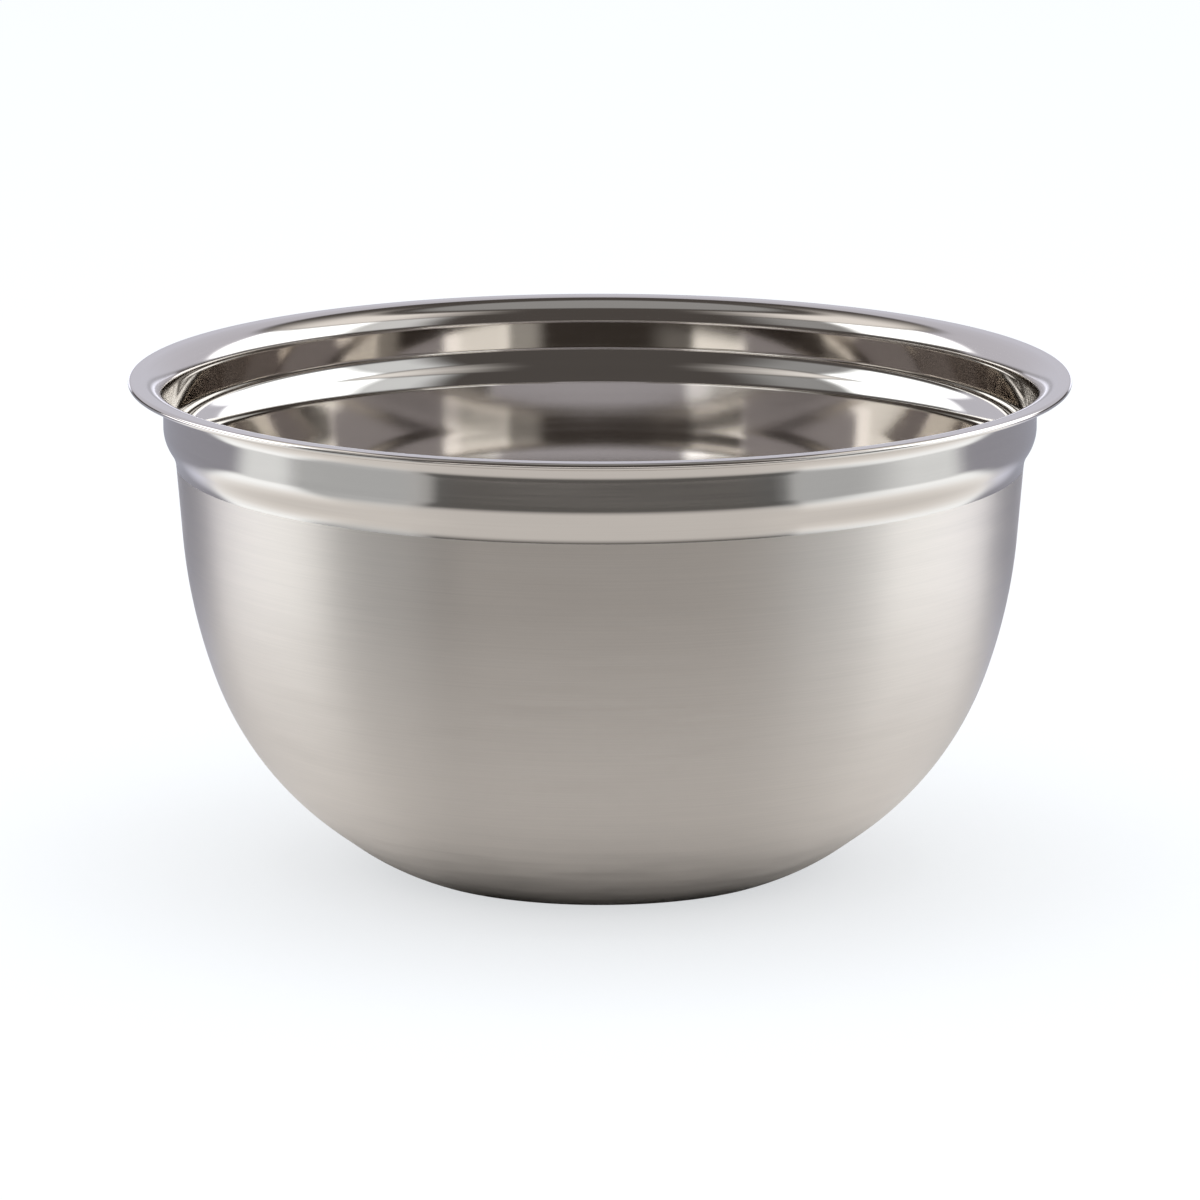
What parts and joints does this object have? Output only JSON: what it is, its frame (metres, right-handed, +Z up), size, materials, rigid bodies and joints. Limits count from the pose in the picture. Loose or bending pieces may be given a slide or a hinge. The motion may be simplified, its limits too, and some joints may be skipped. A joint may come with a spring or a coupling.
{
  "type": "mixing bowl",
  "caption": "Deep round steel mixing bowl with a flat base, a stepped upright collar and a flat rim folded under at its edge.",
  "frame": {"origin": "middle of the circle on which the bowl stands, on the table plane", "axes": "+Z up along the bowl's axis, through the middle of the mouth; X and Y are any two directions across it"},
  "size_m": [0.26, 0.26, 0.1375],
  "materials": {
    "stainless_steel": "satin wall brushed round the axis outside, polished collar and rim, near-mirror inside"
  },
  "bodies": {
    "root": {"bowl": "stainless_steel"}
  },
  "joints": []
}
